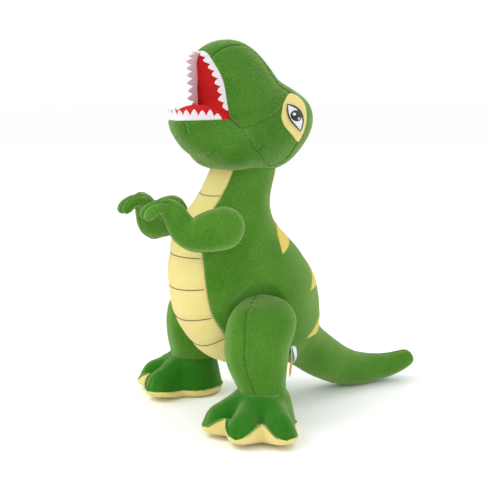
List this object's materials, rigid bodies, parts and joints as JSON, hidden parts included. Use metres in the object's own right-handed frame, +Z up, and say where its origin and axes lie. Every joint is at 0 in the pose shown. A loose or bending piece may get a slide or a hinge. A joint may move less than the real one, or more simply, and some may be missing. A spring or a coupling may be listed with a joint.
{
  "type": "stuffed dinosaur",
  "caption": "Plush dinosaur standing on two soft feet and its tail, with a wide open felt-toothed mouth, small arms and a pale belly.",
  "frame": {"origin": "under the middle of the toy's box, on the surface it stands on", "axes": "+Z up, the toy faces -Y, its left side is +X"},
  "size_m": [0.2752, 0.3572, 0.3895],
  "materials": {
    "green_plush": "short-pile velvet plush",
    "deep_green_plush": "short-pile velvet plush",
    "cream_plush": "short-pile velvet plush",
    "red_plush": "short-pile velvet plush",
    "white_felt": "pressed felt",
    "eye_thread": "satin-stitch embroidery",
    "polyester_fibre": "loose hollow-fibre filling",
    "label_satin": "woven satin ribbon",
    "label_gold": "woven satin ribbon"
  },
  "bodies": {
    "arm_left": {"arm_inner_left": "green_plush", "arm_outer_left": "green_plush", "arm_stuffing_left": "polyester_fibre"},
    "arm_right": {"arm_inner_right": "green_plush", "arm_outer_right": "green_plush", "arm_stuffing_right": "polyester_fibre"},
    "root": {"back_stripe_1": "cream_plush", "back_stripe_2": "cream_plush", "back_stripe_3": "cream_plush", "belly_panel": "cream_plush", "body_side_left": "green_plush", "body_side_right": "green_plush", "body_stuffing": "polyester_fibre", "care_label": "label_satin", "size_label": "label_gold"},
    "head": {"cheek_left": "green_plush", "cheek_right": "green_plush", "eye_embroidery_left": "eye_thread", "eye_embroidery_right": "eye_thread", "eye_patch_left": "cream_plush", "eye_patch_right": "cream_plush", "head_stuffing": "polyester_fibre", "head_top_gusset": "green_plush", "palate_lining": "red_plush", "snout_side_left": "green_plush", "snout_side_right": "green_plush", "throat_cover": "green_plush", "upper_teeth": "white_felt"},
    "foot_left": {"foot_sole_left": "cream_plush", "foot_stuffing_left": "polyester_fibre", "foot_upper_left": "deep_green_plush"},
    "foot_right": {"foot_sole_right": "cream_plush", "foot_stuffing_right": "polyester_fibre", "foot_upper_right": "deep_green_plush"},
    "jaw": {"jaw_cover_left": "green_plush", "jaw_cover_right": "green_plush", "jaw_stuffing": "polyester_fibre", "lower_teeth": "white_felt", "tongue_lining": "red_plush"},
    "leg_left": {"leg_inner_left": "deep_green_plush", "leg_outer_left": "deep_green_plush", "leg_stuffing_left": "polyester_fibre"},
    "leg_right": {"leg_inner_right": "deep_green_plush", "leg_outer_right": "deep_green_plush", "leg_stuffing_right": "polyester_fibre"},
    "tail": {"tail_side_left": "green_plush", "tail_side_right": "green_plush", "tail_stuffing": "polyester_fibre"}
  },
  "joints": [
    {"name": "neck_nod", "type": "hinge", "parent": "root", "child": "head", "pos_m": [0, -0.04905, 0.217], "axis": [1, 0, 0], "range_deg": [-12, 12], "stiffness_Nm_per_rad": 1.2},
    {"name": "jaw_flex", "type": "hinge", "parent": "head", "child": "jaw", "pos_m": [0, -0.08405, 0.31], "axis": [-1, 0, 0], "range_deg": [0, 20], "stiffness_Nm_per_rad": 0.2},
    {"name": "tail_wag", "type": "hinge", "parent": "root", "child": "tail", "pos_m": [0, -0.00805, 0.06], "axis": [0, 0, 1], "range_deg": [-15, 15], "stiffness_Nm_per_rad": 0.5},
    {"name": "shoulder_left", "type": "hinge", "parent": "root", "child": "arm_left", "pos_m": [0.04019, -0.09451, 0.20167], "axis": [0.8495, -0.3889, 0.3566], "range_deg": [-12, 15], "stiffness_Nm_per_rad": 0.15},
    {"name": "hip_left", "type": "hinge", "parent": "root", "child": "leg_left", "pos_m": [0.043, -0.07005, 0.1], "axis": [1, 0, 0], "range_deg": [-8, 12], "stiffness_Nm_per_rad": 4},
    {"name": "ankle_left", "type": "hinge", "parent": "leg_left", "child": "foot_left", "pos_m": [0.075, -0.07005, 0.024], "axis": [1, 0, 0], "range_deg": [-8, 8], "stiffness_Nm_per_rad": 4},
    {"name": "shoulder_right", "type": "hinge", "parent": "root", "child": "arm_right", "pos_m": [-0.04019, -0.09451, 0.20167], "axis": [0.8495, 0.3889, -0.3566], "range_deg": [-12, 15], "stiffness_Nm_per_rad": 0.15},
    {"name": "hip_right", "type": "hinge", "parent": "root", "child": "leg_right", "pos_m": [-0.043, -0.07005, 0.1], "axis": [1, 0, 0], "range_deg": [-8, 12], "stiffness_Nm_per_rad": 4},
    {"name": "ankle_right", "type": "hinge", "parent": "leg_right", "child": "foot_right", "pos_m": [-0.075, -0.07005, 0.024], "axis": [1, 0, 0], "range_deg": [-8, 8], "stiffness_Nm_per_rad": 4}
  ]
}
